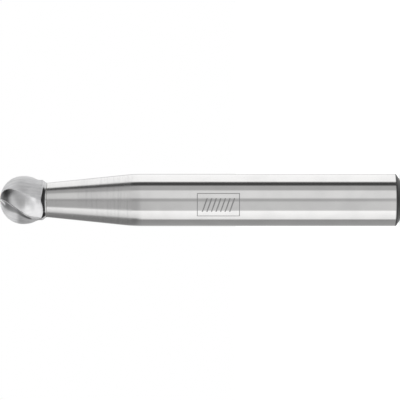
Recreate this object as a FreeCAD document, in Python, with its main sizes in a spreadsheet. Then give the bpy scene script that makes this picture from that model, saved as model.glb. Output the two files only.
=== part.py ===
import FreeCAD, Part
import math
import os

import Sketcher

# A ball-nosed carbide burr on a plain cylindrical shank, in millimetres.
# It stands on the end of its shank: +Z runs up the axis to the tip of the ball, and the origin is the
# middle of the shank's end face. The cutting edge that is nearest to -Y faces the usual viewer.

DRIVING_SIZES = {
    "overall_length": 46.0,
    "shank_diameter": 6.0,
    "shank_end_chamfer_length": 0.48,
    "shank_end_chamfer_depth": 0.72,
    "shank_end_round": 0.18,
    "neck_taper_length": 9.9,
    "neck_tip_diameter": 3.96,
    "neck_root_round": 20.0,
    "braze_seam_thickness": 0.06,
    "braze_seam_recess": 0.03,
    "ball_diameter": 6.0,
    "head_length": 5.4,
    "head_foot_lip": 0.02,
    "head_foot_land": 0.1,
    "shoulder_depth_share": 0.775,
    "shoulder_round": 0.12,
    "flute_count": 2.0,
    "flute_depth": 0.5,
    "flute_tip_width": 40.0,
    "flute_ball_width": 48.0,
    "flute_rear_width": 60.0,
    "rake_lean": 1.0,
    "rake_foot_share": 0.92,
    "edge_angle_at_ball": -125.0,
    "edge_twist_over_radius": 41.7,
    "edge_overlap": 0.008,
    "land_heel_share": 0.945,
    "land_tip_share": 1.0,
    "land_middle_share": 0.908,
    "relief_width": 12.0,
    "relief_rise_share": 0.035,
    "tip_overshoot": 0.01,
    "run_out_depth": 0.1,
    "run_out_rise": 0.3,
    "run_out_reach": 0.2,
}

# Where the teeth are cut across: latitudes on the front of the ball, and shares of the way to the shoulder.
FRONT_LATITUDES = (84.0, 70.0, 55.0, 40.0, 25.0, 10.0)
REAR_SHARES = (0.28, 0.75)
FULL_TURN = 360.0


class Size:
    """A number together with the sheet expression that gives it."""

    def __init__(self, value, text):
        self.value = value
        self.text = text

    @staticmethod
    def of(other):
        return other if isinstance(other, Size) else Size(float(other), repr(float(other)))

    def __add__(self, other):
        other = Size.of(other)
        return Size(self.value + other.value, f"({self.text} + {other.text})")

    def __sub__(self, other):
        other = Size.of(other)
        return Size(self.value - other.value, f"({self.text} - {other.text})")

    def __mul__(self, other):
        other = Size.of(other)
        return Size(self.value * other.value, f"({self.text} * {other.text})")

    def __truediv__(self, other):
        other = Size.of(other)
        return Size(self.value / other.value, f"({self.text} / {other.text})")

    __radd__ = __add__
    __rmul__ = __mul__

    def __rsub__(self, other):
        return Size.of(other) - self

    def __neg__(self):
        return Size.of(0) - self


def root(size):
    return Size(math.sqrt(size.value), f"sqrt({size.text})")


def cosine(size):
    return Size(math.cos(math.radians(size.value)), f"cos({size.text} * 1 deg)")


def sine(size):
    return Size(math.sin(math.radians(size.value)), f"sin({size.text} * 1 deg)")


def make_sheet(document):
    """Keep the driving sizes in the document's spreadsheet and return them by name."""
    sheet = document.addObject("Spreadsheet::Sheet", "sizes")
    sizes = {}
    for row, (name, value) in enumerate(DRIVING_SIZES.items(), start=1):
        sheet.set(f"A{row}", name.replace("_", " "))
        sheet.set(f"B{row}", str(value))
        sheet.setAlias(f"B{row}", name)
        sizes[name] = Size(value, f"sizes.{name}")
    document.recompute()
    return sizes


def new_body(document, label):
    body = document.addObject("PartDesign::Body", label)
    body.Label = label
    return body


def new_sketch(body, name, role, offset=None):
    """Attach a sketch to one of the body's own origin planes, set over by a placement expression."""
    plane = next(item for item in body.Origin.OriginFeatures if item.Role == role)
    sketch = body.newObject("Sketcher::SketchObject", name)
    sketch.AttachmentSupport = [(plane, "")]
    sketch.MapMode = "FlatFace"
    if offset is not None:
        sketch.setExpression("AttachmentOffset", offset)
    return sketch


def draw_outline(sketch, corners, bows=None):
    """Draw a closed outline through the corners, tied to the sheet.

    corners are pairs of Size. bows maps the number of a corner to a point, a pair of Size too, that the
    arc from that corner to the next one passes through. The other runs are straight.
    """
    bows = bows or {}
    points = [FreeCAD.Vector(x.value, y.value, 0) for x, y in corners]
    ends = []
    for number, point in enumerate(points):
        following = points[(number + 1) % len(points)]
        if number in bows:
            crown = FreeCAD.Vector(bows[number][0].value, bows[number][1].value, 0)
            index = sketch.addGeometry(Part.Arc(point, crown, following), False)
            first = sketch.getPoint(index, 1)
            leaves = 1 if first.distanceToPoint(point) < first.distanceToPoint(following) else 2
            ends.append((index, leaves, 3 - leaves))
        else:
            index = sketch.addGeometry(Part.LineSegment(point, following), False)
            ends.append((index, 1, 2))
    for number, (index, leaves, arrives) in enumerate(ends):
        following = ends[(number + 1) % len(ends)]
        sketch.addConstraint(Sketcher.Constraint("Coincident", index, arrives, following[0], following[1]))
    for number, corner in enumerate(corners):
        index, leaves, arrives = ends[number]
        place_point(sketch, index, leaves, corner)
        if number in bows:
            crown = FreeCAD.Vector(bows[number][0].value, bows[number][1].value, 0)
            mark = sketch.addGeometry(Part.Point(crown), True)
            place_point(sketch, mark, 1, bows[number])
            sketch.addConstraint(Sketcher.Constraint("PointOnObject", mark, 1, index))


def place_point(sketch, index, end, place):
    """Tie one point of a sketch to a pair of sizes measured from the sketch's origin."""
    for kind, size in zip(("DistanceX", "DistanceY"), place):
        constraint = sketch.addConstraint(Sketcher.Constraint(kind, -1, 1, index, end, size.value))
        sketch.setExpression(f"Constraints[{constraint}]", size.text)


def revolve(body, name, sketch):
    """Turn a profile once round the tool's axis, which is the sketch's upright axis."""
    turned = body.newObject("PartDesign::Revolution", name)
    turned.Profile = sketch
    turned.ReferenceAxis = (sketch, ["V_Axis"])
    turned.Angle = FULL_TURN
    return turned


def circle_edge(shape, radius, height):
    """The name of the edge that runs round the axis at this radius and height."""
    for number, edge in enumerate(shape.Edges, start=1):
        curve = edge.Curve
        if isinstance(curve, Part.Circle) and abs(curve.Radius - radius) < 1e-4 \
                and abs(curve.Center.z - height) < 1e-4:
            return f"Edge{number}"
    raise RuntimeError(f"no round edge of radius {radius} at height {height}")


def round_edge(document, body, name, base, radius, height, rounding):
    """Round a circular edge of a turned piece."""
    document.recompute()
    fillet = body.newObject("PartDesign::Fillet", name)
    fillet.Base = (base, [circle_edge(base.Shape, radius.value, height.value)])
    fillet.setExpression("Radius", rounding.text)
    return fillet


def make_shank(document, sizes):
    """The steel shank: clamped cylinder, softened end, and the long taper up to the braze seam."""
    radius = sizes["shank_diameter"] / 2
    neck = sizes["neck_tip_diameter"] / 2
    chamfer = sizes["shank_end_chamfer_length"]
    flat = radius - sizes["shank_end_chamfer_depth"]
    top = sizes["overall_length"] - sizes["head_length"] - sizes["braze_seam_thickness"]
    taper_start = top - sizes["neck_taper_length"]
    zero = Size.of(0)
    body = new_body(document, "shank")
    sketch = new_sketch(body, "shank_profile", "XZ_Plane")
    corners = [(zero, zero), (flat, zero), (radius, chamfer), (radius, taper_start), (neck, top), (zero, top)]
    draw_outline(sketch, corners)
    turned = revolve(body, "shank_turned", sketch)
    softened = round_edge(document, body, "end_round", turned, radius, chamfer, sizes["shank_end_round"])
    softened = round_edge(document, body, "face_round", softened, flat, zero, sizes["shank_end_round"])
    body.Tip = round_edge(document, body, "neck_root", softened, radius, taper_start, sizes["neck_root_round"])
    return body


def make_braze_seam(document, sizes):
    """The film of solder between the steel neck and the carbide head, a little below their surface."""
    radius = sizes["neck_tip_diameter"] / 2 - sizes["braze_seam_recess"]
    thickness = sizes["braze_seam_thickness"]
    seam = document.addObject("Part::Cylinder", "braze_seam")
    seam.Label = "braze_seam"
    seam.setExpression("Radius", radius.text)
    seam.setExpression("Height", thickness.text)
    height = sizes["overall_length"] - sizes["head_length"] - thickness
    seam.setExpression("Placement.Base.z", height.text)
    return seam


def shoulder_place(sizes):
    """The radius and the height, over the ball's middle, at which the ball ends and the shoulder starts."""
    ball = sizes["ball_diameter"] / 2
    height = (ball - sizes["head_length"]) * sizes["shoulder_depth_share"]
    return root(ball * ball - height * height), height


def foot_radius(sizes):
    """The radius of the head's foot, which stands a little proud of the neck."""
    return sizes["neck_tip_diameter"] / 2 + sizes["head_foot_lip"]


def make_blank(document, sizes):
    """The ground blank of the head about the middle of its ball: ball, shoulder and foot."""
    ball = sizes["ball_diameter"] / 2
    foot = foot_radius(sizes)
    bottom = ball - sizes["head_length"]
    land_top = bottom + sizes["head_foot_land"]
    shoulder, meeting = shoulder_place(sizes)
    zero = Size.of(0)
    body = new_body(document, "head_blank")
    sketch = new_sketch(body, "head_profile", "XZ_Plane")
    corners = [(zero, bottom), (foot, bottom), (foot, land_top), (shoulder, meeting), (zero, ball)]
    draw_outline(sketch, corners, {3: (ball, zero)})
    turned = revolve(body, "head_turned", sketch)
    body.Tip = round_edge(document, body, "shoulder_round", turned, foot, land_top, sizes["shoulder_round"])
    return body


def polar(radius, angle):
    return radius * cosine(angle), radius * sine(angle)


def tooth_section(body, name, sizes, height, radii):
    """One section across the teeth at a height over the ball's middle.

    Each tooth runs from its cutting edge down the rake face, along the floor of the flute up to the heel of
    the land ahead, over that land, and up the relief to the next cutting edge. radii are those of the edge,
    the foot of the rake face, the middle of the floor, the heel, the middle of the land and the relief.
    """
    edge, foot, floor, heel, land, relief = radii
    if height.value > 0:
        end_width, end = sizes["flute_tip_width"], sizes["ball_diameter"] / 2
    else:
        end_width, end = sizes["flute_rear_width"], shoulder_place(sizes)[1]
    width = sizes["flute_ball_width"] + (end_width - sizes["flute_ball_width"]) * (height / end)
    twist = sizes["edge_twist_over_radius"] * (height / (sizes["ball_diameter"] / 2))
    turn = sizes["edge_angle_at_ball"] + twist
    offset = f"placement(vector(0; 0; {height.text}); rotation({turn.text}; 0; 0))"
    sketch = new_sketch(body, name, "XY_Plane", offset)
    pitch = Size.of(FULL_TURN) / sizes["flute_count"]
    corners = []
    bows = {}
    for tooth in range(int(sizes["flute_count"].value)):
        start = pitch * tooth
        relief_start = start + pitch - sizes["relief_width"]
        corners.append(polar(edge, start))
        corners.append(polar(foot, start + sizes["rake_lean"]))
        bows[len(corners) - 1] = polar(floor, start + width / 2)
        corners.append(polar(heel, start + width))
        bows[len(corners) - 1] = polar(land, (start + width + relief_start) / 2)
        corners.append(polar(relief, relief_start))
    draw_outline(sketch, corners, bows)
    return sketch


def make_teeth(document, sizes):
    """The form that grinding leaves: twisted sections that shrink with the ball towards the tip."""
    ball = sizes["ball_diameter"] / 2
    core = ball - sizes["flute_depth"]
    shoulder, meeting = shoulder_place(sizes)
    crest = shoulder - sizes["run_out_depth"]
    rise = sizes["run_out_rise"]
    middle_share = sizes["land_middle_share"]
    places = []
    for latitude in FRONT_LATITUDES:
        angle = Size.of(latitude)
        places.append((ball * sine(angle), ball * cosine(angle), core * cosine(angle)))
    places[0] = (ball * (sizes["tip_overshoot"] + 1),) + places[0][1:]
    for share in REAR_SHARES:
        height = meeting * share
        places.append((height, root(ball * ball - height * height), core + (crest - core) * share))
    body = new_body(document, "tooth_form")
    sections = []
    for number, (height, radius, floor) in enumerate(places):
        edge = radius * (sizes["edge_overlap"] + 1)
        land_share = middle_share + (sizes["land_tip_share"] - middle_share) * (height / ball)
        foot, heel, land = edge * sizes["rake_foot_share"], edge * sizes["land_heel_share"], edge * land_share
        radii = (edge, foot, floor, heel, land, land + edge * sizes["relief_rise_share"])
        sections.append(tooth_section(body, f"section_{number}", sizes, height, radii))
    ridge = crest + rise
    slope = crest + rise / 2
    radii = (ridge, slope, crest, ridge, crest, slope)
    sections.append(tooth_section(body, "run_out_crest", sizes, meeting, radii))
    radii = (ridge + sizes["run_out_reach"],) * len(radii)
    sections.append(tooth_section(body, "run_out_end", sizes, ball - sizes["head_length"] - rise, radii))
    loft = body.newObject("PartDesign::AdditiveLoft", "teeth")
    loft.Profile = sections[0]
    loft.Sections = sections[1:]
    body.Tip = loft
    return body


def make_head(document, sizes):
    """The carbide head: what the blank and the tooth form have in common."""
    head = document.addObject("Part::Common", "carbide_head")
    head.Label = "carbide_head"
    head.setExpression("Placement.Base.z", (sizes["overall_length"] - sizes["ball_diameter"] / 2).text)
    head.Base = make_blank(document, sizes)
    head.Tool = make_teeth(document, sizes)
    return head


def check(document, pieces):
    """Stop before anything is written if an object failed or a piece is not a sound solid."""
    for item in document.Objects:
        if "Invalid" in item.State or "Error" in item.State:
            raise RuntimeError(f"{item.Label} could not be built")
    for piece in pieces:
        if piece.Shape.isNull() or not piece.Shape.isValid():
            raise RuntimeError(f"{piece.Label} is not a sound solid")


def main():
    document = FreeCAD.newDocument("carbide_burr")
    sizes = make_sheet(document)
    pieces = [make_shank(document, sizes), make_braze_seam(document, sizes), make_head(document, sizes)]
    document.recompute()
    check(document, pieces)
    os.makedirs("parts", exist_ok=True)
    for piece in pieces:
        piece.Shape.exportStep(f"parts/{piece.Label}.step")
        box = piece.Shape.BoundBox
        print(piece.Label, len(piece.Shape.Solids), round(piece.Shape.Volume, 3), box)


main()
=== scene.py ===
"""The looks of a small ball headed carbide burr: a turned and ground steel shank with a brazed head.

The burr stands on the flat end of its shank with its tip up the Z axis, as its frame does.
Sizes are in millimetres and are turned into metres where a mesh is made.
"""

import logging
import math
from abc import ABC, abstractmethod
from dataclasses import dataclass
from enum import Enum
from typing import Any, Callable, Optional, Sequence, Union

import bpy
from mathutils import Matrix, Vector


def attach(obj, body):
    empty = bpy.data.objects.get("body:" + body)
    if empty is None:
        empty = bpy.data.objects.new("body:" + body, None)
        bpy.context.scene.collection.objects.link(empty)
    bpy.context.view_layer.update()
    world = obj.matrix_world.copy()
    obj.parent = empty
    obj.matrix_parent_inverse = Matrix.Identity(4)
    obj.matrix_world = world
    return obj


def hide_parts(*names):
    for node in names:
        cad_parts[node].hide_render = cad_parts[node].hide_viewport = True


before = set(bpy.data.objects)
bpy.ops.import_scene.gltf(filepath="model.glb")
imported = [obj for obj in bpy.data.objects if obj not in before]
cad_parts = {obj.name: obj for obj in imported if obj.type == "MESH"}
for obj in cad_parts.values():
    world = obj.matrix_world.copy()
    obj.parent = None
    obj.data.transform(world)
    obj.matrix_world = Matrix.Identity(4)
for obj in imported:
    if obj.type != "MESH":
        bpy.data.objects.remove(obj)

log = logging.getLogger("burr")

METRES_PER_MM = 0.001
MM_PER_METRE = 1000.0
MARK_DEPTH = 1e-6
HALF_TURN = math.pi
FULL_DEGREES = 360.0


class Slot(Enum):
    """Names for a carbide and a steel material slot, which no piece here is given."""

    CARBIDE = "carbide"
    STEEL = "steel"


class Blend(Enum):
    """How one colour lies over another."""

    COVER = "MIX"
    DARKEN = "MULTIPLY"


class Operation(Enum):
    """The maths steps that an expression on sockets can ask for."""

    ADD = "ADD"
    SUBTRACT = "SUBTRACT"
    MULTIPLY = "MULTIPLY"
    DIVIDE = "DIVIDE"
    LESS = "LESS_THAN"
    MORE = "GREATER_THAN"
    LOW = "MINIMUM"
    HIGH = "MAXIMUM"
    SMOOTH_HIGH = "SMOOTH_MAX"
    ROUND = "ROUND"
    WHOLE = "FLOOR"
    LEFT_OVER = "FLOORED_MODULO"
    SINE = "SINE"
    COSINE = "COSINE"
    ANGLE = "ARCTAN2"
    ROOT = "SQRT"
    SIZE = "ABSOLUTE"


Number = Union[float, int, "Signal"]
Span = tuple[float, float]
Colour = tuple[float, float, float, float]
Tint = Union[Colour, bpy.types.NodeSocket]

WHITE: Colour = (1.0, 1.0, 1.0, 1.0)


class Signal:
    """A node's output that takes part in plain Python arithmetic."""

    def __init__(self, tree: "Tree", socket: bpy.types.NodeSocket) -> None:
        """Wrap one output.

        Args:
            tree: The tree that holds the output.
            socket: The output itself.
        """
        self.tree = tree
        self.socket = socket

    def step(self, operation: Operation, *values: Number) -> "Signal":
        """Add one Math node.

        Args:
            operation: What the node does.
            values: Its inputs in order.

        Returns:
            The node's result.
        """
        return self.tree.maths(operation, *values)

    def __add__(self, other: Number) -> "Signal":
        """Sum."""
        return self.step(Operation.ADD, self, other)

    __radd__ = __add__

    def __sub__(self, other: Number) -> "Signal":
        """Difference."""
        return self.step(Operation.SUBTRACT, self, other)

    def __rsub__(self, other: Number) -> "Signal":
        """Difference with a plain number first."""
        return self.step(Operation.SUBTRACT, other, self)

    def __mul__(self, other: Number) -> "Signal":
        """Product."""
        return self.step(Operation.MULTIPLY, self, other)

    __rmul__ = __mul__

    def __truediv__(self, other: Number) -> "Signal":
        """Quotient."""
        return self.step(Operation.DIVIDE, self, other)

    def __rtruediv__(self, other: Number) -> "Signal":
        """Quotient with a plain number first."""
        return self.step(Operation.DIVIDE, other, self)

    def __neg__(self) -> "Signal":
        """The value with its sign turned."""
        return self.step(Operation.MULTIPLY, self, -1.0)

    def __lt__(self, other: Number) -> "Signal":
        """One where the value is below the other, else zero."""
        return self.step(Operation.LESS, self, other)

    def __gt__(self, other: Number) -> "Signal":
        """One where the value is above the other, else zero."""
        return self.step(Operation.MORE, self, other)

    def __mod__(self, other: Number) -> "Signal":
        """What is left over from a division, never negative."""
        return self.step(Operation.LEFT_OVER, self, other)

    def size(self) -> "Signal":
        """The value without its sign."""
        return self.step(Operation.SIZE, self)

    def high(self, other: Number) -> "Signal":
        """The higher of two values."""
        return self.step(Operation.HIGH, self, other)

    def low(self, other: Number) -> "Signal":
        """The lower of two values."""
        return self.step(Operation.LOW, self, other)

    def root(self) -> "Signal":
        """The square root."""
        return self.step(Operation.ROOT, self)

    def ramp(self, start: Number, end: Number, low: Number = 0.0, high: Number = 1.0) -> "Signal":
        """A soft step from one value to another.

        Args:
            start: Where the step starts.
            end: Where the step ends.
            low: The value up to the start.
            high: The value from the end on.

        Returns:
            The stepped value.
        """
        sockets = {"Value": self, "From Min": start, "From Max": end, "To Min": low, "To Max": high}
        node = self.tree.add("ShaderNodeMapRange", {"interpolation_type": "SMOOTHSTEP"}, sockets)
        return Signal(self.tree, node.outputs["Result"])


def above_zero(value: Number) -> Number:
    """The value, or zero where it is below zero."""
    return value.high(0.0) if isinstance(value, Signal) else max(value, 0.0)


def set_stops(ramp: bpy.types.ColorRamp, stops: Sequence[tuple[float, Colour]]) -> None:
    """Give a new colour ramp its stops.

    Args:
        ramp: The ramp, which starts with two stops.
        stops: The place and the colour of each stop, in order.
    """
    ramp.elements.remove(ramp.elements[1])
    for number, (place, colour) in enumerate(stops):
        stop = ramp.elements.new(place) if number else ramp.elements[0]
        stop.position = place
        stop.color = colour


class Tree:
    """A node tree with short ways of adding nodes.

    The three places are those of the colours among a Mix node's inputs and outputs.
    """

    UNDER_PLACE = 6
    OVER_PLACE = 7
    MIXED_PLACE = 2

    def __init__(self, nodes: bpy.types.NodeTree) -> None:
        """Wrap a tree and empty it.

        Args:
            nodes: The tree.
        """
        self.nodes = nodes
        nodes.nodes.clear()

    def add(
        self,
        kind: str,
        settings: Optional[dict[str, Any]] = None,
        sockets: Optional[dict[Union[str, int], Any]] = None,
    ) -> bpy.types.Node:
        """Add any node.

        Args:
            kind: The node's type.
            settings: Its own properties and a colour ramp's stops, which are set first.
            sockets: Values or outputs for its inputs, by name or by place.

        Returns:
            The new node.
        """
        node = self.nodes.nodes.new(kind)
        for name, value in (settings or {}).items():
            if name == "stops":
                set_stops(node.color_ramp, value)
            else:
                setattr(node, name, value)
        for name, value in (sockets or {}).items():
            self.feed(node.inputs[name], value)
        return node

    def feed(self, socket: bpy.types.NodeSocket, value: Any) -> None:
        """Set or link one input.

        Args:
            socket: The input.
            value: A plain value, a signal, or another node's output.
        """
        if isinstance(value, Signal):
            value = value.socket
        if isinstance(value, bpy.types.NodeSocket):
            self.nodes.links.new(value, socket)
        else:
            socket.default_value = value

    def maths(self, operation: Operation, *values: Number) -> Signal:
        """Add a Math node.

        Args:
            operation: What it does.
            values: Its inputs in order.

        Returns:
            Its result.
        """
        node = self.add("ShaderNodeMath", {"operation": operation.value}, dict(enumerate(values)))
        return Signal(self, node.outputs[0])

    def split(self, vector: bpy.types.NodeSocket) -> tuple[Signal, Signal, Signal]:
        """The three parts of a vector.

        Args:
            vector: The vector output.

        Returns:
            Its x, y and z.
        """
        node = self.add("ShaderNodeSeparateXYZ", None, {0: vector})
        return tuple(Signal(self, part) for part in node.outputs)

    def join(self, x: Number, y: Number, z: Number) -> bpy.types.NodeSocket:
        """A vector made of three numbers.

        Args:
            x: The first part.
            y: The second part.
            z: The third part.

        Returns:
            The vector output.
        """
        return self.add("ShaderNodeCombineXYZ", None, {0: x, 1: y, 2: z}).outputs[0]

    def angle(self, across: Number, ahead: Number) -> Signal:
        """The angle of a direction, in radians.

        Args:
            across: Its part at a right angle to the zero direction.
            ahead: Its part along the zero direction.

        Returns:
            The angle, from minus half a turn to half a turn.
        """
        return self.maths(Operation.ANGLE, across, ahead)

    def millimetres(self) -> tuple[Signal, Signal, Signal]:
        """The object coordinates in millimetres."""
        place = self.add("ShaderNodeTexCoord").outputs["Object"]
        return tuple(part * MM_PER_METRE for part in self.split(place))

    def noise(
        self, place: Sequence[Number], scale: float = 1.0, detail: float = 2.0, roughness: float = 0.5
    ) -> Signal:
        """An uneven value round a half.

        Args:
            place: Where the noise is read.
            scale: How close its waves are.
            detail: How many finer waves lie over them.
            roughness: How strong each finer wave is.

        Returns:
            The value.
        """
        sockets = {"Vector": self.join(*place), "Scale": scale, "Detail": detail, "Roughness": roughness}
        return Signal(self, self.add("ShaderNodeTexNoise", None, sockets).outputs[0])

    def mix(
        self, factor: Number, under: Tint, over: Tint, blend: Blend = Blend.COVER
    ) -> bpy.types.NodeSocket:
        """Lay one colour over another.

        Args:
            factor: How far the upper colour covers, from 0 to 1.
            under: The lower colour.
            over: The upper colour.
            blend: How it lies.

        Returns:
            The mixed colour.
        """
        settings = {"data_type": "RGBA", "blend_type": blend.value}
        sockets = {"Factor": factor, self.UNDER_PLACE: under, self.OVER_PLACE: over}
        return self.add("ShaderNodeMix", settings, sockets).outputs[self.MIXED_PLACE]

    def mix_shaders(self, factor: Number, first: bpy.types.Node, second: bpy.types.Node) -> bpy.types.Node:
        """Mix two shaders.

        Args:
            factor: Zero for the first shader, one for the second.
            first: The first shader.
            second: The second shader.

        Returns:
            The mixing node.
        """
        sockets = {0: factor, 1: first.outputs[0], 2: second.outputs[0]}
        return self.add("ShaderNodeMixShader", None, sockets)

    def metal(self, relief: Signal, sockets: dict[Union[str, int], Any]) -> None:
        """End a material in metal with a fine relief.

        Args:
            relief: The relief's height, in steps of the depth of a grinding mark.
            sockets: The surface's other values.
        """
        bump = self.add("ShaderNodeBump", None, {"Strength": 1.0, "Distance": MARK_DEPTH, "Height": relief})
        self.end(self.add("ShaderNodeBsdfPrincipled", None, {**sockets, "Normal": bump.outputs[0]}))

    def end(self, surface: bpy.types.Node) -> None:
        """End a material in a shader.

        Args:
            surface: The shader's node.
        """
        self.add("ShaderNodeOutputMaterial", None, {0: surface.outputs[0]})


class Zone(Enum):
    """The head's ground and turned areas, by the number that its faces carry."""

    LAND = 0
    FLUTE = 1
    SHOULDER = 2


@dataclass(frozen=True)
class BallSizes:
    """The sizes of the carbide head, in millimetres and degrees, with the ball's centre as zero height."""

    centre_height: float = 43.0
    radius: float = 3.0
    foot_height: float = -2.4
    foot_land: float = 0.1
    foot_radius: float = 2.0
    shoulder_height: float = -1.86
    shoulder_round: float = 0.05
    flute_depth: float = 0.5
    flutes: int = 2
    edge_angle: float = -35.0
    edge_twist: float = 13.9
    edge_overlap: float = 0.008
    tip_width: float = 40.0
    ball_width: float = 48.0
    rear_width: float = 60.0
    rake_lean: float = 1.0
    rake_foot_share: float = 0.92
    heel_share: float = 0.945
    land_tip_share: float = 1.0
    land_share: float = 0.908
    relief_width: float = 12.0
    relief_rise: float = 0.035
    rear_shares: tuple[float, float] = (0.28, 0.75)
    crest_depth: float = 0.1
    crest_rise: float = 0.3
    run_out_reach: float = 0.2

    @property
    def shoulder_radius(self) -> float:
        """The radius at which the ball meets its shoulder."""
        return math.sqrt(self.radius**2 - self.shoulder_height**2)

    @property
    def pitch(self) -> float:
        """Degrees from one cutting edge to the next."""
        return FULL_DEGREES / self.flutes

    def flute_width(self, height: Signal) -> Signal:
        """The flute's width at a height.

        Args:
            height: Height above the ball's centre.

        Returns:
            Degrees from the cutting edge to the heel.
        """
        ahead = height.high(0.0) * ((self.tip_width - self.ball_width) / self.radius)
        behind = (-height).high(0.0) * ((self.rear_width - self.ball_width) / -self.shoulder_height)
        return ahead + behind + self.ball_width

    def edge_turn(self, height: Number) -> Number:
        """The cutting edge's angle at a height, in radians.

        Args:
            height: Height above the ball's centre.

        Returns:
            The angle round the axis, from the side that faces the viewer.
        """
        return math.radians(self.edge_angle) + height * math.radians(self.edge_twist)


@dataclass(frozen=True)
class Spot:
    """A point across the axis, whose parts can be signals."""

    x: Number
    y: Number

    def dot(self, other: "Spot") -> Number:
        """The scalar product."""
        return self.x * other.x + self.y * other.y

    def cross(self, other: "Spot") -> Number:
        """The flat cross product."""
        return self.x * other.y - self.y * other.x

    def less(self, other: "Spot") -> "Spot":
        """The step from the other point to this one."""
        return Spot(self.x - other.x, self.y - other.y)


class HeadTree:
    """The node tree that shapes the fluted head from a flat grid.

    The steps count the grid's faces along each part of a tooth's outline, and the rings those along the
    axis. Heights closer than the touch are the same, and points closer than the seam become one.
    """

    RAKE_STEPS = 5
    FLOOR_STEPS = 42
    LAND_STEPS = 63
    RELIEF_STEPS = 10
    LAND_START = RAKE_STEPS + FLOOR_STEPS
    TOOTH_STEPS = LAND_START + LAND_STEPS + RELIEF_STEPS
    BALL_RINGS = 130
    REAR_RINGS = 30
    TOUCH = 1e-5
    SEAM_WIDTH = 1e-7

    def __init__(self, sizes: BallSizes, finishes: dict[Zone, bpy.types.Material]) -> None:
        """Build the tree.

        Args:
            sizes: The head's sizes.
            finishes: The finish of each zone.
        """
        self.sizes = sizes
        self.group = bpy.data.node_groups.new("fluted_head", "GeometryNodeTree")
        self.tree = Tree(self.group)
        self.group.interface.new_socket("Mesh", in_out="INPUT", socket_type="NodeSocketGeometry")
        self.group.interface.new_socket("Mesh", in_out="OUTPUT", socket_type="NodeSocketGeometry")
        self.sockets: dict[str, str] = {}
        self.values: dict[str, float] = {
            "Ball Radius": sizes.radius,
            "Flute Depth": sizes.flute_depth,
            "Tip Flute Width": math.radians(sizes.tip_width),
            "Ball Flute Width": math.radians(sizes.ball_width),
            "Rear Flute Width": math.radians(sizes.rear_width),
            "Edge Overlap": sizes.edge_overlap,
            "Shoulder Radius": sizes.shoulder_radius,
            "Foot Radius": sizes.foot_radius,
        }
        for name in self.values:
            made = self.group.interface.new_socket(name, in_out="INPUT", socket_type="NodeSocketFloat")
            self.sockets[name] = made.identifier
        self.inputs = self.tree.add("NodeGroupInput")
        self.build(finishes)

    def value(self, name: str) -> Signal:
        """One of the named inputs."""
        return Signal(self.tree, self.inputs.outputs[name])

    def polar(self, radius: Number, angle: Number) -> Spot:
        """A point from its distance and its angle.

        Args:
            radius: Distance from the axis.
            angle: Angle in radians.

        Returns:
            The point.
        """
        if isinstance(angle, Signal):
            cosine, sine = (self.tree.maths(part, angle) for part in (Operation.COSINE, Operation.SINE))
        else:
            cosine, sine = math.cos(angle), math.sin(angle)
        return Spot(radius * cosine, radius * sine)

    def arc(self, start: Spot, middle: Spot, end: Spot, share: Signal) -> Spot:
        """A point on the arc through three points.

        Args:
            start: Where the arc starts.
            middle: A point on it.
            end: Where it ends.
            share: How far along it, from 0 to 1.

        Returns:
            The point.
        """
        first, last = middle.less(start), end.less(start)
        double = 2.0 * first.cross(last)
        centre = Spot(
            (first.dot(first) * last.y - last.dot(last) * first.y) / double,
            (last.dot(last) * first.x - first.dot(first) * last.x) / double,
        )
        out, far = Spot(-centre.x, -centre.y), last.less(centre)
        sweep = self.tree.angle(out.cross(far), out.dot(far)) * share
        cosine, sine = self.tree.maths(Operation.COSINE, sweep), self.tree.maths(Operation.SINE, sweep)
        return Spot(
            start.x + centre.x + out.x * cosine - out.y * sine,
            start.y + centre.y + out.x * sine + out.y * cosine,
        )

    def weight(self, height: Signal, stations: Sequence[float], number: int) -> Signal:
        """How much one station counts in the smooth line through all of them.

        Args:
            height: Height above the ball's centre.
            stations: The heights the line passes through.
            number: Which station.

        Returns:
            Its weight: one at the station and zero at the others.
        """
        here = stations[number]
        parts = [(height - other) / (here - other) for other in stations if other != here]
        return math.prod(parts)

    def section(self, height: Signal, step: Signal) -> Spot:
        """The outline of one tooth and its flute, before the blank cuts it down.

        Args:
            height: Height above the ball's centre.
            step: Whole steps round the tooth from its cutting edge.

        Returns:
            The outline's point, with the cutting edge on the x axis.
        """
        sizes = self.sizes
        reach = self.value("Ball Radius")
        above = height.high(0.0)
        behind = (above - height) / -sizes.shoulder_height
        crest = self.value("Shoulder Radius") - sizes.crest_depth
        ridge, slope = crest + sizes.crest_rise, crest + 0.5 * sizes.crest_rise
        rear_heights = (sizes.shoulder_height * share for share in sizes.rear_shares)
        stations = (*rear_heights, sizes.shoulder_height, sizes.foot_height - sizes.crest_rise)
        weights = [self.weight(height, stations, number) for number in range(len(stations))]
        to_rear = height.ramp(*stations[:2])

        def run_out(on_ball: Callable[[Number], Number], at_crest: Number) -> Signal:
            """A radius that follows the ball's rule and, behind it, a smooth line over the shoulder.

            Args:
                on_ball: The radius at a height of the ball.
                at_crest: The radius at the shoulder.

            Returns:
                The radius at this height.
            """
            reached = (on_ball(stations[0]), on_ball(stations[1]), at_crest, ridge + sizes.run_out_reach)
            rear = sum((part * weight for part, weight in zip(reached, weights)), start=0.0)
            front = on_ball(height)
            return front + (rear - front) * to_rear

        def edge_rule(place: Number) -> Signal:
            """The cutting edge's radius at a height of the ball."""
            across = (reach * reach - place * place).high(0.0)
            return across.root() * (1.0 + self.value("Edge Overlap"))

        def floor_rule(place: Number) -> Signal:
            """The flute floor's radius at a height of the ball.

            Args:
                place: The height.

            Returns:
                The radius.
            """
            core = reach - self.value("Flute Depth")
            over = above_zero(place)
            past = (over - place) / -sizes.shoulder_height
            return (1.0 - over * over / (reach * reach)).root() * core + (crest - core) * past

        def land_share(place: Number) -> Number:
            """The middle of the land as a share of the cutting edge's radius."""
            return place * ((sizes.land_tip_share - sizes.land_share) / sizes.radius) + sizes.land_share

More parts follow.
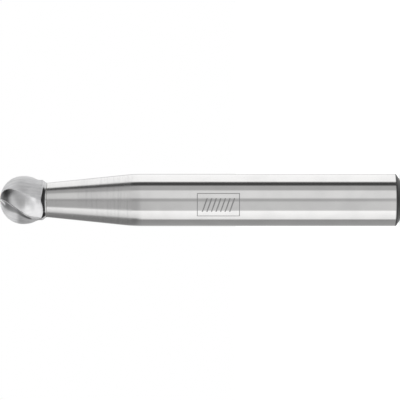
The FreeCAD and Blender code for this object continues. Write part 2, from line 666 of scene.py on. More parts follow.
        edge = run_out(edge_rule, ridge)
        foot = run_out(lambda place: edge_rule(place) * sizes.rake_foot_share, slope)
        floor = run_out(floor_rule, crest)
        heel = run_out(lambda place: edge_rule(place) * sizes.heel_share, ridge)
        land = run_out(lambda place: edge_rule(place) * land_share(place), crest)
        relief = run_out(lambda place: edge_rule(place) * (land_share(place) + sizes.relief_rise), slope)
        middle_width = self.value("Ball Flute Width")
        width = (
            middle_width
            + above / reach * (self.value("Tip Flute Width") - middle_width)
            + behind * (self.value("Rear Flute Width") - middle_width)
        )
        lean, pitch = math.radians(sizes.rake_lean), math.radians(sizes.pitch)
        relief_start = pitch - math.radians(sizes.relief_width)
        tip = Spot(edge, 0.0)
        root = self.polar(foot, lean)
        back = self.polar(heel, width)
        rake_share = (step / self.RAKE_STEPS).low(1.0)
        rake = Spot(tip.x + (root.x - tip.x) * rake_share, tip.y + (root.y - tip.y) * rake_share)
        floor_share = (step - self.RAKE_STEPS) / self.FLOOR_STEPS
        flute = self.arc(root, self.polar(floor, width * 0.5), back, floor_share)
        fall = self.polar(relief, relief_start)
        rim_share = ((step - self.LAND_START) / self.LAND_STEPS).low(1.0)
        rim = self.arc(back, self.polar(land, (width + relief_start) * 0.5), fall, rim_share)
        following = self.polar(edge, pitch)
        fall_share = ((step - self.LAND_START - self.LAND_STEPS) / self.RELIEF_STEPS).high(0.0)
        rim = Spot(rim.x + (following.x - fall.x) * fall_share, rim.y + (following.y - fall.y) * fall_share)
        in_rake, in_land = step < self.RAKE_STEPS, step > self.LAND_START
        in_floor = 1.0 - in_rake - in_land
        return Spot(
            rake.x * in_rake + flute.x * in_floor + rim.x * in_land,
            rake.y * in_rake + flute.y * in_floor + rim.y * in_land,
        )

    def blank(self, height: Signal) -> Signal:
        """The turned blank's radius at a height.

        Args:
            height: Height above the ball's centre.

        Returns:
            The radius.
        """
        sizes, tree = self.sizes, self.tree
        names = ("Ball Radius", "Foot Radius", "Shoulder Radius")
        reach, foot, shoulder = (self.value(name) for name in names)
        ball = (reach * reach - height * height).high(0.0).root()
        cone_start = sizes.foot_height + sizes.foot_land
        slope = (shoulder - foot) / (sizes.shoulder_height - cone_start)
        straight = foot + slope * (height - cone_start)
        cone = tree.maths(Operation.SMOOTH_HIGH, straight, foot, sizes.shoulder_round)
        in_cone = height < sizes.shoulder_height + self.TOUCH
        return ball * (1.0 - in_cone) + cone * in_cone

    def build(self, finishes: dict[Zone, bpy.types.Material]) -> None:
        """Add every node.

        Args:
            finishes: The finish of each zone.
        """
        sizes, tree = self.sizes, self.tree
        around, rings = self.TOOTH_STEPS * sizes.flutes, self.BALL_RINGS + self.REAR_RINGS + 1
        grid = tree.add(
            "GeometryNodeMeshGrid",
            None,
            {"Size X": 1.0, "Size Y": 1.0, "Vertices X": around + 1, "Vertices Y": rings + 1},
        )
        x, y, _ = tree.split(tree.add("GeometryNodeInputPosition").outputs[0])
        column = tree.maths(Operation.ROUND, (x + 0.5) * around) % around
        row = tree.maths(Operation.ROUND, (y + 0.5) * rings)
        last = math.asin(sizes.shoulder_height / sizes.radius)
        latitude = 0.5 * HALF_TURN - (0.5 * HALF_TURN - last) / self.BALL_RINGS * row
        on_ball = tree.maths(Operation.SINE, latitude) * self.value("Ball Radius")
        behind = (row - self.BALL_RINGS) * ((sizes.shoulder_height - sizes.foot_height) / self.REAR_RINGS)
        in_rear = row > self.BALL_RINGS
        height = on_ball * (1.0 - in_rear) + (sizes.shoulder_height - behind) * in_rear
        height = height.high(sizes.foot_height)
        step = column % self.TOOTH_STEPS
        tooth = tree.maths(Operation.WHOLE, (column + 0.5) / self.TOOTH_STEPS)
        spot = self.section(height, step)
        tooth_radius = spot.dot(spot).root()
        blank = self.blank(height)
        radius = tooth_radius.low(blank) * (row < rings - 0.5)
        turn = tree.angle(spot.y, spot.x) + tooth * math.radians(sizes.pitch) + sizes.edge_turn(height)
        place = self.polar(radius, turn)
        position = tree.join(
            place.y * METRES_PER_MM,
            place.x * -METRES_PER_MM,
            (height + sizes.centre_height) * METRES_PER_MM,
        )
        face = tree.maths(Operation.WHOLE, (x + 0.5) * around) % self.TOOTH_STEPS
        cut = tooth_radius < blank
        turned = (1.0 - cut) * (height < sizes.shoulder_height + self.TOUCH)
        flute = (face < self.LAND_START) * cut
        zone = flute * float(Zone.FLUTE.value) + turned * float(Zone.SHOULDER.value)
        zoned = tree.add(
            "GeometryNodeStoreNamedAttribute",
            {"data_type": "FLOAT", "domain": "FACE"},
            {"Geometry": grid.outputs[0], "Name": "zone", "Value": zone},
        )
        shaped = tree.add(
            "GeometryNodeSetPosition",
            None,
            {"Geometry": zoned.outputs[0], "Position": position},
        )
        closed = tree.add(
            "GeometryNodeMergeByDistance",
            None,
            {"Geometry": shaped.outputs[0], "Distance": self.SEAM_WIDTH},
        )
        outward = tree.add("GeometryNodeFlipFaces", None, {"Mesh": closed.outputs[0]})
        dressed = tree.add("GeometryNodeRealizeInstances", None, {"Geometry": outward.outputs[0]})
        kept = tree.add("GeometryNodeInputNamedAttribute", {"data_type": "FLOAT"}, {"Name": "zone"})
        for kind, finish in finishes.items():
            here = (Signal(tree, kept.outputs[0]) - float(kind.value)).size() < 0.5
            dressed = tree.add(
                "GeometryNodeSetMaterial",
                None,
                {"Geometry": dressed.outputs[0], "Selection": here, "Material": finish},
            )
        tree.add("NodeGroupOutput", None, {"Mesh": dressed.outputs[0]})


def place_object(name: str, mesh: bpy.types.Mesh) -> bpy.types.Object:
    """Make an object at the origin.

    Args:
        name: Its name.
        mesh: Its mesh, already in place.

    Returns:
        The object.
    """
    made = bpy.data.objects.new(name, mesh)
    bpy.context.scene.collection.objects.link(made)
    return made


def new_finish(name: str) -> tuple[bpy.types.Material, Tree]:
    """Make a material.

    Args:
        name: Its name.

    Returns:
        The material and its emptied tree.
    """
    made = bpy.data.materials.new(name)
    made.use_nodes = True
    return made, Tree(made.node_tree)


def smooth(mesh: bpy.types.Mesh, corner: float) -> None:
    """Shade a mesh smoothly up to an angle.

    Args:
        mesh: The mesh.
        corner: The angle in degrees past which an edge stays sharp.
    """
    mesh.shade_smooth()
    mesh.set_sharp_from_angle(angle=math.radians(corner))


def lathe(name: str, profile: Sequence[tuple[float, float]], steps: int) -> bpy.types.Mesh:
    """Turn a profile round the Z axis.

    Args:
        name: The mesh's name.
        profile: Radius and height of each ring from the bottom up, the first and last on the axis.
        steps: Faces round the axis.

    Returns:
        The closed mesh, in metres.
    """
    points: list[tuple[float, float, float]] = [(0.0, 0.0, profile[0][1] * METRES_PER_MM)]
    for radius, height in profile[1:-1]:
        for step in range(steps):
            angle = 2.0 * HALF_TURN * step / steps
            points.append(
                (
                    radius * math.cos(angle) * METRES_PER_MM,
                    radius * math.sin(angle) * METRES_PER_MM,
                    height * METRES_PER_MM,
                )
            )
    points.append((0.0, 0.0, profile[-1][1] * METRES_PER_MM))
    faces: list[tuple[int, ...]] = []
    rings = len(profile) - 2
    for step in range(steps):
        following = (step + 1) % steps
        faces.append((0, 1 + following, 1 + step))
        for ring in range(rings - 1):
            low, high = 1 + ring * steps, 1 + (ring + 1) * steps
            faces.append((low + step, low + following, high + following, high + step))
        top = 1 + (rings - 1) * steps
        faces.append((top + step, top + following, len(points) - 1))
    mesh = bpy.data.meshes.new(name)
    mesh.from_pydata(points, [], faces)
    mesh.update()
    return mesh


def rounded(corners: Sequence[tuple[float, float, float]], steps: int = 6) -> list[tuple[float, float]]:
    """A profile with rounded corners.

    Args:
        corners: Radius, height and rounding of each corner.
        steps: Points along each rounding.

    Returns:
        The profile's points.
    """
    line: list[tuple[float, float]] = []
    for place, (radius, height, bend) in enumerate(corners):
        if bend <= 0.0:
            line.append((radius, height))
            continue
        here = Vector((radius, height))
        before = (Vector(corners[place - 1][:2]) - here).normalized()
        after = (Vector(corners[place + 1][:2]) - here).normalized()
        half = before.angle(after) / 2.0
        centre = here + (before + after).normalized() * (bend / math.sin(half))
        start = here + before * (bend / math.tan(half)) - centre
        end = here + after * (bend / math.tan(half)) - centre
        for step in range(steps + 1):
            point = centre + start.slerp(end, step / steps) * bend
            line.append((point.x, point.y))
    return line


def stretched(place: Sequence[Signal], factors: Sequence[float]) -> list[Signal]:
    """A place with each part multiplied by its own factor."""
    return [part * factor for part, factor in zip(place, factors)]


@dataclass(frozen=True)
class EtchSizes:
    """The plain laser mark on the shank: its middle and length along the axis, its sides round the shank."""

    middle: float = 20.9
    length: float = 4.9
    low: float = -2.0
    high: float = 0.8
    line: float = 0.09
    bar_pitch: float = 0.52
    bar_slant: float = 0.35
    bar_width: float = 0.15
    bar_height: float = 1.6
    bars: int = 7


@dataclass(frozen=True)
class ShankSizes:
    """The sizes of the steel shank, in millimetres, with its flat end as zero height."""

    radius: float = 3.0
    end_radius: float = 2.28
    chamfer: float = 0.48
    end_round: float = 0.18
    neck_start: float = 30.64
    neck_round: float = 20.0
    neck_end: float = 40.54
    neck_radius: float = 1.98


@dataclass(frozen=True)
class GroundSteel:
    """Turned and ground tool steel with fine marks round the axis, an etched mark and painted shade on its
    end chamfer.

    The neck's blend counts from the neck's start, and the end's in shares of the chamfer. The arcs' start
    and end are heights above the flat end.
    """

    tone: Colour = (0.74, 0.735, 0.73, 1.0)
    roughness: float = 0.09
    ring_stretch: tuple[float, float, float] = (0.25, 0.25, 9.0)
    ring_detail: float = 4.0
    ring_fineness: float = 0.6
    ring_depth: float = 0.6
    neck_blend: Span = (-0.1, 0.4)
    neck_roughness: float = 0.17
    neck_ring_depth: float = 5.0
    arc_rings: Span = (0.45, 0.7)
    arc_depth: float = 0.28
    arc_start: Span = (30.2, 31.0)
    arc_end: Span = (35.0, 37.5)
    arc_rest: float = 0.3
    patch_stretch: tuple[float, float, float] = (0.4, 0.4, 0.35)
    patch_roughness: float = 0.03
    worn_tone: Colour = (0.7, 0.7, 0.71, 1.0)
    worn_patches: Span = (0.35, 0.75)
    worn_depth: float = 0.2
    # Painted shade: the end chamfer's colour is nearly black.
    end_painted_shade: Colour = (0.07, 0.07, 0.07, 1.0)
    end_roughness: float = 0.42
    end_blend: Span = (1.1, 1.4)
    etch_tone: Colour = (0.08, 0.08, 0.085, 1.0)
    etch_depth: float = 0.6
    etch_roughness: float = 0.3
    etch: EtchSizes = EtchSizes()

    def mark(self, round_it: Signal, height: Signal) -> Signal:
        """Where the laser has marked the steel: a thin frame with slanted bars.

        Args:
            round_it: Millimetres round the shank from the side that faces the viewer.
            height: Height above the flat end.

        Returns:
            One on the mark, zero off it.
        """
        etch = self.etch
        half = 0.5 * (etch.high - etch.low)
        across = round_it - 0.5 * (etch.low + etch.high)
        along = height - etch.middle
        off_side, off_end = across.size(), along.size()
        inside = (off_end < 0.5 * etch.length) * (off_side < half)
        border = inside * (off_side > half - etch.line).high(off_end > 0.5 * etch.length - etch.line)
        slanted = along + across * etch.bar_slant
        row = (slanted.size() < 0.5 * etch.bars * etch.bar_pitch) * (off_side < 0.5 * etch.bar_height)
        bars = (slanted + 0.5 * etch.bar_width) % etch.bar_pitch < etch.bar_width
        return border.high(row * bars)

    def material(self, name: str, sizes: ShankSizes) -> bpy.types.Material:
        """Build the finish.

        Args:
            name: The material's name.
            sizes: The shank's sizes.

        Returns:
            The material.
        """
        made, tree = new_finish(name)
        place = tree.millimetres()
        x, y, z = place
        rings = tree.noise(stretched(place, self.ring_stretch), 1.0, self.ring_detail, self.ring_fineness)
        patch = tree.noise(stretched(place, self.patch_stretch))
        neck = z.ramp(*(sizes.neck_start + step for step in self.neck_blend))
        # Painted shade on the end chamfer.
        end = z.ramp(*(sizes.chamfer * share for share in self.end_blend), 1.0, 0.0)
        mark = self.mark(tree.angle(x, -y) * sizes.radius, z)
        arcs = rings.ramp(*self.arc_rings, 0.0, self.arc_depth)
        arcs = arcs * z.ramp(*self.arc_start) * z.ramp(*self.arc_end, 1.0, self.arc_rest)
        worn = patch.ramp(*self.worn_patches, 0.0, self.worn_depth) + arcs
        tone = tree.mix(mark * self.etch_depth, self.tone, self.etch_tone)
        tone = tree.mix(worn, tone, self.worn_tone, Blend.DARKEN)
        rough = self.roughness + neck * (self.neck_roughness - self.roughness)
        rough = rough + patch * self.patch_roughness + mark * self.etch_roughness
        tree.metal(
            rings * (neck * self.neck_ring_depth + self.ring_depth),
            {
                "Base Color": tree.mix(end, tone, self.end_painted_shade),
                "Metallic": 1.0,
                "Roughness": rough + end * (self.end_roughness - self.roughness),
            },
        )
        return made


@dataclass(frozen=True)
class GroundCarbide(ABC):
    """Ground tungsten carbide, whose grain spreads light round the axis, with streaks and fine specks."""

    tone: Colour = (0.7, 0.7, 0.705, 1.0)
    roughness: float = 0.42
    grain: float = 0.85
    metal: float = 1.0
    streak_turn: float = 11.0
    streak_height: float = 0.7
    streak_reach: float = 0.3
    streak_detail: float = 6.0
    streak_fineness: float = 0.62
    streak_depth: float = 9.0
    streak_levels: Span = (0.3, 0.7)
    streak_tone: float = 0.3
    streak_shade: Colour = (0.75, 0.75, 0.76, 1.0)
    streak_roughness: float = 0.12
    speck_scale: float = 14.0
    speck_detail: float = 3.0
    speck_depth: float = 3.0
    speck_roughness: float = 0.06

    @abstractmethod
    def shade(self, sizes: BallSizes, turn: Signal, height: Signal) -> tuple[Number, Number]:
        """The painted light and shade on the ground surface, and how frosted it is, from place to place.

        Args:
            sizes: The head's sizes.
            turn: Degrees behind the cutting edge.
            height: Height above the ball's centre.

        Returns:
            The factor of painted light or shade on the tone, and how far the surface is frosted, from 0 to
            1.
        """

    def material(self, name: str, sizes: BallSizes) -> bpy.types.Material:
        """Build the finish.

        Args:
            name: The material's name.
            sizes: The head's sizes, which the grinding marks follow.

        Returns:
            The material.
        """
        made, tree = new_finish(name)
        x, y, z = tree.millimetres()
        height = z - sizes.centre_height
        angle = tree.angle(x, -y)
        turn = (angle - sizes.edge_turn(height)) % math.radians(sizes.pitch) * math.degrees(1.0)
        reach = (x * x + y * y).root()
        marks = (angle * self.streak_turn, height * self.streak_height, reach * self.streak_reach)
        streak = tree.noise(marks, 1.0, self.streak_detail, self.streak_fineness)
        speck = tree.noise((x, y, z), self.speck_scale, self.speck_detail)
        streaks = streak.ramp(*self.streak_levels, 0.0, self.streak_tone)
        tone = tree.mix(streaks, self.tone, self.streak_shade, Blend.DARKEN)
        # The shade factor paints light and shade into the base colour.
        factor, frost = self.shade(sizes, turn, height)
        shaded = tree.add("ShaderNodeVectorMath", {"operation": "SCALE"}, {0: tone, "Scale": factor})
        rough = (streak - 0.5) * self.streak_roughness + (speck - 0.5) * self.speck_roughness
        tree.metal(
            streak * self.streak_depth + speck * self.speck_depth,
            {
                "Base Color": shaded.outputs[0],
                "Metallic": (1.0 - frost) * self.metal,
                "Roughness": rough + self.roughness,
                "Anisotropic": self.grain,
            },
        )
        return made


@dataclass(frozen=True)
class GroundLand(GroundCarbide):
    """The matte backs of the teeth, with painted shade where they are relieved behind the cutting edge and
    painted highlights along heel, edge and point.

    Spans named for turns are in degrees and spans named for heights in millimetres.
    """

    # Painted shade in the relief behind the cutting edge.
    relief_painted_shade: float = 0.32
    tip_relief_painted_shade: float = 0.46
    relief_tone_heights: Span = (0.3, 1.3)
    relief_heights: Span = (-0.9, -0.5)
    relief_border: Span = (0.55, 1.05)
    tip_relief_width: float = 26.0
    relief_width_heights: Span = (0.6, 2.0)
    point_relief_width: float = 12.0
    point_heights: Span = (1.9, 2.5)
    # Painted shade and light on the slope before the next edge, and painted light on the land's front.
    slope_painted_shade: float = 0.77
    front_slope_painted_light: float = 1.1
    slope_turns: Span = (20.0, 60.0)
    slope_heights: Span = (0.6, 1.1)
    land_front_painted_light: float = 0.22
    front_turns: Span = (5.0, 40.0)
    front_heights: Span = (0.2, 1.2)
    # Painted highlights along the cutting edge and the heel.
    rim_highlight: float = 1.2
    rim_turns: Span = (0.5, 2.6)
    rim_heights: Span = (0.9, 1.6)
    heel_turns: Span = (1.5, 4.5)
    heel_heights: Span = (-1.6, -0.3)
    heel_rear_share: float = 0.5
    # A painted highlight in place of a small facet at the point.
    facet_middle: float = 5.5
    facet_slant: float = 9.0
    facet_border: Span = (3.15, 4.5)
    facet_heights: Span = (2.2, 2.35)

    def shade(self, sizes: BallSizes, turn: Signal, height: Signal) -> tuple[Number, Number]:
        """The painted light and shade on the land: painted shade in the relief, painted shade and light
        before the next edge, painted light at the front, painted highlights along the heel, the edge and the
        point.

        Args:
            sizes: The head's sizes.
            turn: Degrees behind the cutting edge.
            height: Height above the ball's centre.

        Returns:
            The factor of painted light or shade on the tone, and how far the painted highlights are frosted,
            from 0 to 1.
        """
        to_edge = sizes.pitch - turn
        from_heel = turn - sizes.flute_width(height)
        width = height.ramp(*self.relief_width_heights, sizes.relief_width, self.tip_relief_width)
        width = width + height.ramp(*self.point_heights, 0.0, self.point_relief_width)
        # Painted shade in the relief.
        relief = (to_edge / width).ramp(*self.relief_border, 1.0, 0.0) * height.ramp(*self.relief_heights)
        relief_depths = 1.0 - self.relief_painted_shade, 1.0 - self.tip_relief_painted_shade
        relief = relief * height.ramp(*self.relief_tone_heights, *relief_depths)
        slope_depths = 1.0 - self.slope_painted_shade, 1.0 - self.front_slope_painted_light
        slope = to_edge.ramp(*self.slope_turns, 1.0, 0.0) * height.ramp(*self.slope_heights, *slope_depths)
        front = from_heel.ramp(*self.front_turns, 1.0, 0.0) * height.ramp(*self.front_heights)
        # Painted highlights along the heel, the edge and the point, which are also made matte.
        heel = from_heel.ramp(*self.heel_turns, 1.0, 0.0)
        heel = heel * height.ramp(*self.heel_heights, self.heel_rear_share, 1.0)
        edge = to_edge.ramp(*self.rim_turns, 1.0, 0.0) * height.ramp(*self.rim_heights)
        off_facet = (to_edge - self.facet_middle + (height - sizes.radius) * self.facet_slant).size()
        facet = off_facet.ramp(*self.facet_border, 1.0, 0.0) * height.ramp(*self.facet_heights)
        painted_highlights = heel.high(edge).high(facet)
        body = (1.0 - relief) * (1.0 - slope) + front * self.land_front_painted_light
        return body + painted_highlights * (self.rim_highlight - body), painted_highlights


@dataclass(frozen=True)
class GroundFlute(GroundCarbide):
    """The smoother flute, with painted shade in its narrow end at the tip, painted light where it opens to
    the rear and a painted highlight along its cutting edge at the rear.
    """

    # Painted shade at the tip, and painted light in front of and behind a slanting border.
    flute_tip_painted_shade: float = 0.16
    tip_heights: Span = (1.4, 2.5)
    flute_front_painted_light: float = 1.05
    flute_rear_painted_light: float = 1.32
    rear_blend: Span = (-0.3, 0.3)
    rear_frost: float = 0.42
    frost_blend: Span = (-0.3, 0.7)
    border_height: float = 0.1
    border_slant: float = 0.0158
    # A painted highlight along the cutting edge at the rear.
    rim_highlight: float = 1.2
    rim_turns: Span = (0.8, 3.0)
    rim_heights: Span = (-0.9, -0.5)

    def shade(self, sizes: BallSizes, turn: Signal, height: Signal) -> tuple[Number, Number]:
        """The painted light and shade on the flute.

        Args:
            sizes: Not used here.
            turn: Degrees behind the cutting edge.
            height: Height above the ball's centre.

        Returns:
            The factor of painted light or shade on the tone, and how far the surface is frosted, from 0 to
            1.
        """
        # Painted light and shade: lighter and matte behind the border, dark at the tip, and a painted
        # highlight along the edge at the rear.
        past_border = height + turn * self.border_slant - self.border_height
        body = past_border.ramp(*self.rear_blend, self.flute_rear_painted_light, self.flute_front_painted_light)
        body = body * height.ramp(*self.tip_heights, 1.0, self.flute_tip_painted_shade)
        rim = turn.ramp(*self.rim_turns, 1.0, 0.0) * height.ramp(*self.rim_heights, 1.0, 0.0)
        frost = past_border.ramp(*self.frost_blend, self.rear_frost, 0.0)
        return body + rim * (self.rim_highlight - body), rim.high(frost)


@dataclass(frozen=True)
class TurnedShoulder(GroundCarbide):
    """The polished shoulder, frosted where the grinding of flutes and lands ran out over it in lobes, with a
    painted highlight on the lobes.
    """

    lobe_height: float = -1.78
    lobe_depth: float = 0.26
    lobe_blend: Span = (-0.02, 0.02)
    # Painted highlight on the lobes.
    lobe_painted_highlight: float = 1.7

    def shade(self, sizes: BallSizes, turn: Signal, height: Signal) -> tuple[Number, Number]:
        """The painted highlight on the shoulder's lobes.

        Args:
            sizes: The head's sizes.
            turn: Degrees behind the cutting edge.
            height: Height above the ball's centre.

        Returns:
            The factor of painted light on the tone, and how far the surface is frosted, from 0 to 1.
        """
        width = sizes.flute_width(height)
        off_flute = turn / (width * 0.5) - 1.0
        off_land = (turn - width) / ((sizes.pitch - width) * 0.5) - 1.0
        reach = (1.0 - off_flute * off_flute).high(1.0 - off_land * off_land)
        # Painted highlight: the lobes are painted lighter as well as frosted.
        lobe = (height - self.lobe_height + reach * self.lobe_depth).ramp(*self.lobe_blend)
        return lobe * (self.lobe_painted_highlight - 1.0) + 1.0, lobe


@dataclass(frozen=True)
class BrazeAlloy:
    """The thin warm line of filler between head and neck."""

    tone: Colour = (0.58, 0.56, 0.52, 1.0)
    dull_tone: Colour = (0.42, 0.41, 0.38, 1.0)
    dull_levels: Span = (0.35, 0.7)
    patch_scale: float = 3.0
    patch_detail: float = 3.0
    patch_roughness: float = 0.2
    roughness: float = 0.45

    def material(self, name: str) -> bpy.types.Material:
        """Build the finish.

        Args:
            name: The material's name.

        Returns:
            The material.
        """
        made, tree = new_finish(name)
        patch = tree.noise(tree.millimetres(), self.patch_scale, self.patch_detail)
        tone = tree.mix(patch.ramp(*self.dull_levels), self.tone, self.dull_tone)
        rough = patch * self.patch_roughness + self.roughness
        sockets = {"Base Color": tone, "Metallic": 1.0, "Roughness": rough}
        tree.end(tree.add("ShaderNodeBsdfPrincipled", None, sockets))
        return made


@dataclass
class FlutedHead:
    """The carbide ball with its two flutes."""

    sizes: BallSizes = BallSizes()
    land: GroundCarbide = GroundLand(tone=(0.82, 0.82, 0.825, 1.0), metal=0.7, streak_tone=0.85)
    flute: GroundCarbide = GroundFlute(roughness=0.3, grain=0.35, streak_depth=1.5)
    # The shoulder's lower tone is painted shade: the same carbide made darker than the lands and flutes.
    shoulder: GroundCarbide = TurnedShoulder(
        tone=(0.56, 0.56, 0.565, 1.0), roughness=0.12, grain=0.2, streak_depth=1.0
    )
    corner: float = 12.0

    def build(self) -> bpy.types.Object:
        """Shape the head and hang it on the frame.

        Returns:
            The head.
        """
        finishes = {
            Zone.LAND: self.land.material("carbide_land", self.sizes),
            Zone.FLUTE: self.flute.material("carbide_flute", self.sizes),
            Zone.SHOULDER: self.shoulder.material("carbide_shoulder", self.sizes),
        }
        rule = HeadTree(self.sizes, finishes)
        seed = place_object("head_seed", bpy.data.meshes.new("head_seed"))
        modifier = seed.modifiers.new("fluted_head", "NODES")
        modifier.node_group = rule.group
        for name, value in rule.values.items():
            modifier[rule.sockets[name]] = value
        graph = bpy.context.evaluated_depsgraph_get()
        mesh = bpy.data.meshes.new_from_object(seed.evaluated_get(graph))
        bpy.data.objects.remove(seed)
        smooth(mesh, self.corner)
        head = place_object("fluted_head", mesh)
        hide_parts("carbide_head")
        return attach(head, "root")


@dataclass
class Shank:
    """The steel shank with its chamfered end and its tapered neck."""

    sizes: ShankSizes = ShankSizes()
    finish: GroundSteel = GroundSteel()
    steps: int = 256
    corner: float = 24.0

    def build(self) -> bpy.types.Object:
        """Turn the shank and hang it on the frame.

        Returns:
            The shank.
        """
        sizes = self.sizes
        corners = [
            (0.0, 0.0, 0.0),
            (sizes.end_radius, 0.0, sizes.end_round),
            (sizes.radius, sizes.chamfer, sizes.end_round),
            (sizes.radius, sizes.neck_start, sizes.neck_round),
            (sizes.neck_radius, sizes.neck_end, 0.0),
            (0.0, sizes.neck_end, 0.0),
        ]
        mesh = lathe("ground_shank", rounded(corners), self.steps)
        mesh.materials.append(self.finish.material("ground_steel", sizes))
        smooth(mesh, self.corner)
        shank = place_object("ground_shank", mesh)
        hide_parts("shank")
        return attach(shank, "root")


@dataclass
class BrazeLine:
    """The filler between neck and head, which stays the frame's own piece."""

    finish: BrazeAlloy = BrazeAlloy()

    def build(self) -> bpy.types.Object:
        """Dress the seam.

        Returns:
            The seam.
        """
        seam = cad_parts["braze_seam"]
        seam.data.materials.clear()
        seam.data.materials.append(self.finish.material("braze_alloy"))
        return seam


@dataclass(frozen=True)
class Band:
    """A strip of the studio: where it starts, in degrees, its light beside the burr and its light above."""

    start: float
    light: float
    raised_light: float


def plainly_seen(tree: Tree) -> Signal:
    """Where the camera looks straight, or through glass.

    Args:
        tree: The tree that needs it.

    Returns:
        One for such a ray, zero for a reflected one.
    """
    path = tree.add("ShaderNodeLightPath")
    straight, through = (path.outputs[name] for name in ("Is Camera Ray", "Is Transmission Ray"))
    return Signal(tree, straight).high(Signal(tree, through))


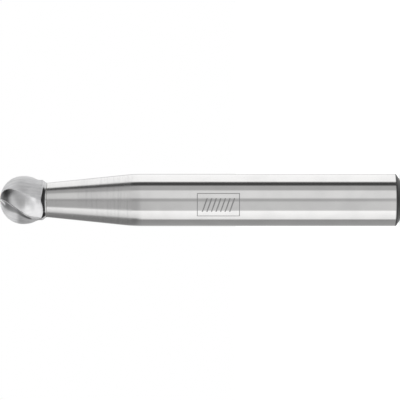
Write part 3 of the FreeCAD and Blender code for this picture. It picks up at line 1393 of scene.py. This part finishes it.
@dataclass
class Studio:
    """The floor and the light round the burr.

    Spans named for slopes are the parts of a direction along the burr. Those named for sides and depths
    are its parts towards the photograph's top and away from the viewer.
    """

    floor_width: float = 3.0
    floor_tone: Colour = (0.86, 0.86, 0.86, 1.0)
    floor_lift: float = 0.62
    strength: float = 1.3
    raised_slopes: Span = (0.01, 0.07)
    back_light: float = 1.05
    back_depths: Span = (-0.05, 0.15)
    back_slopes: Span = (0.15, 0.4)
    lamp_light: float = 1.2
    lamp_start_degrees: Span = (-95.0, -60.0)
    lamp_end_degrees: Span = (-8.0, 10.0)
    lamp_slopes: Span = (-0.12, -0.28)
    dark_light: float = 0.04
    top_slopes: Span = (0.86, 0.97)
    foot_slopes: Span = (-0.9, -0.95)
    arch_rise: float = 1.27
    arch_border: Span = (0.16, 0.3)
    arch_slopes: Span = (-0.68, -0.76)
    corner_sides: Span = (-0.4, -0.5)
    corner_depths: Span = (0.15, 0.3)
    corner_slopes: Span = (-0.35, -0.45)
    bands: tuple[Band, ...] = (
        Band(-180.0, 0.75, 0.66),
        Band(-148.0, 0.42, 0.24),
        Band(-98.0, 0.36, 0.2),
        Band(-93.0, 1.07, 0.26),
        Band(-84.0, 1.12, 0.82),
        Band(-50.0, 1.29, 1.2),
        Band(-47.0, 0.72, 0.49),
        Band(-9.0, 0.72, 0.49),
        Band(-4.0, 0.5, 0.4),
        Band(4.0, 0.5, 0.4),
        Band(10.0, 0.92, 0.78),
        Band(41.0, 0.92, 0.78),
        Band(45.0, 0.52, 0.45),
        Band(64.0, 0.52, 0.45),
        Band(69.0, 0.07, 0.07),
        Band(84.0, 0.07, 0.07),
        Band(91.0, 1.23, 1.17),
        Band(147.0, 1.23, 1.17),
        Band(160.0, 0.75, 0.66),
    )

    def grey(self, light: float) -> Colour:
        """The colour that gives a light at the studio's strength."""
        return (*(light / self.strength,) * 3, 1.0)

    def ring(self, tree: Tree, turn: Signal, lights: Sequence[float]) -> bpy.types.NodeSocket:
        """Set the bands round the axis.

        Args:
            tree: The world's tree.
            turn: The direction round the axis, from 0 to 1.
            lights: The light of each band.

        Returns:
            The bands' colour.
        """
        places = [band.start / FULL_DEGREES + 0.5 for band in self.bands]
        stops = [(place, self.grey(light)) for place, light in zip(places, lights)]
        return tree.add("ShaderNodeValToRGB", {"stops": stops}, {"Fac": turn}).outputs[0]

    def dark_parts(self, x: Signal, y: Signal, z: Signal) -> Signal:
        """Where the studio is dark: past the tip, past the foot, in an arch near the foot and in a corner.

        Args:
            x: The direction's part to the photograph's top.
            y: Its part away from the viewer.
            z: Its part along the burr.

        Returns:
            One in the dark parts, zero elsewhere.
        """
        off_arch = (y + z * z * self.arch_rise - 1.0).size()
        arch = off_arch.ramp(*self.arch_border, 1.0, 0.0) * z.ramp(*self.arch_slopes)
        corner = x.ramp(*self.corner_sides) * y.ramp(*self.corner_depths) * z.ramp(*self.corner_slopes)
        return z.ramp(*self.top_slopes).high(arch).high(z.ramp(*self.foot_slopes)).high(corner)

    def sky(self) -> None:
        """Build the world: bands of light round the axis, and plain white behind the burr."""
        world = bpy.data.worlds.new("studio")
        bpy.context.scene.world = world
        world.use_nodes = True
        tree = Tree(world.node_tree)
        x, y, z = tree.split(tree.add("ShaderNodeTexCoord").outputs["Generated"])
        turn = tree.angle(x, -y) * (0.5 / HALF_TURN) + 0.5
        level = self.ring(tree, turn, [band.light for band in self.bands])
        raised = self.ring(tree, turn, [band.raised_light for band in self.bands])
        light = tree.mix(z.ramp(*self.raised_slopes), level, raised)
        behind = y.ramp(*self.back_depths) * z.size().ramp(*self.back_slopes)
        light = tree.mix(behind, light, self.grey(self.back_light))
        degrees = (turn - 0.5) * FULL_DEGREES
        lamp = degrees.ramp(*self.lamp_start_degrees) * degrees.ramp(*self.lamp_end_degrees, 1.0, 0.0)
        light = tree.mix(lamp * z.ramp(*self.lamp_slopes), light, self.grey(self.lamp_light))
        light = tree.mix(self.dark_parts(x, y, z), light, self.grey(self.dark_light))
        studio = tree.add("ShaderNodeBackground", None, {"Color": light, "Strength": self.strength})
        white = tree.add("ShaderNodeBackground", None, {"Color": WHITE, "Strength": 1.0})
        both = tree.mix_shaders(plainly_seen(tree), studio, white)
        tree.add("ShaderNodeOutputWorld", None, {0: both.outputs[0]})

    def floor(self) -> bpy.types.Object:
        """Lay a plain pale floor that mirrors don't show.

        Returns:
            The floor.
        """
        half = self.floor_width / 2.0
        corners = [(-half, -half, 0.0), (half, -half, 0.0), (half, half, 0.0), (-half, half, 0.0)]
        mesh = bpy.data.meshes.new("floor")
        mesh.from_pydata(corners, [], [(0, 1, 2, 3)])
        made, tree = new_finish("pale_floor")
        matte = tree.add("ShaderNodeBsdfDiffuse", None, {"Color": self.floor_tone})
        glow = tree.add("ShaderNodeEmission", None, {"Color": WHITE, "Strength": self.floor_lift})
        lifted = tree.add("ShaderNodeAddShader", None, {0: matte.outputs[0], 1: glow.outputs[0]})
        shown = tree.mix_shaders(plainly_seen(tree), matte, lifted)
        clear = tree.add("ShaderNodeBsdfTransparent")
        mirrored = Signal(tree, tree.add("ShaderNodeLightPath").outputs["Is Glossy Ray"])
        tree.end(tree.mix_shaders(mirrored, shown, clear))
        mesh.materials.append(made)
        floor = place_object("floor", mesh)
        return floor


@dataclass
class PhotoCamera:
    """The camera at the photograph's viewing angle: level with the burr's middle and turned on its side."""

    distance: float = 329.0
    height: float = 23.0
    lens: float = 257.4
    sensor: float = 36.0
    clip_metres: Span = (0.01, 10.0)

    def build(self) -> bpy.types.Object:
        """Set up the camera.

        Returns:
            The camera.
        """
        data = bpy.data.cameras.new("camera")
        data.lens, data.sensor_width = self.lens, self.sensor
        data.clip_start, data.clip_end = self.clip_metres
        camera = bpy.data.objects.new("camera", data)
        bpy.context.scene.collection.objects.link(camera)
        right, up, back = Vector((0.0, 0.0, -1.0)), Vector((1.0, 0.0, 0.0)), Vector((0.0, -1.0, 0.0))
        turn = Matrix((right, up, back)).transposed().to_4x4()
        place = Vector((0.0, -self.distance, self.height)) * METRES_PER_MM
        camera.matrix_world = Matrix.Translation(place) @ turn
        bpy.context.scene.camera = camera
        return camera


def main() -> None:
    """Build the burr, its studio and its camera."""
    logging.basicConfig(level=logging.INFO, format="%(message)s")
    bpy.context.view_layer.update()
    studio = Studio()
    makers = (Shank().build, BrazeLine().build, FlutedHead().build, studio.floor, PhotoCamera().build)
    for make in makers:
        log.info("made %s", make().name)
    studio.sky()
    bpy.context.scene.view_settings.view_transform = "Standard"


if __name__ == "__main__":
    main()
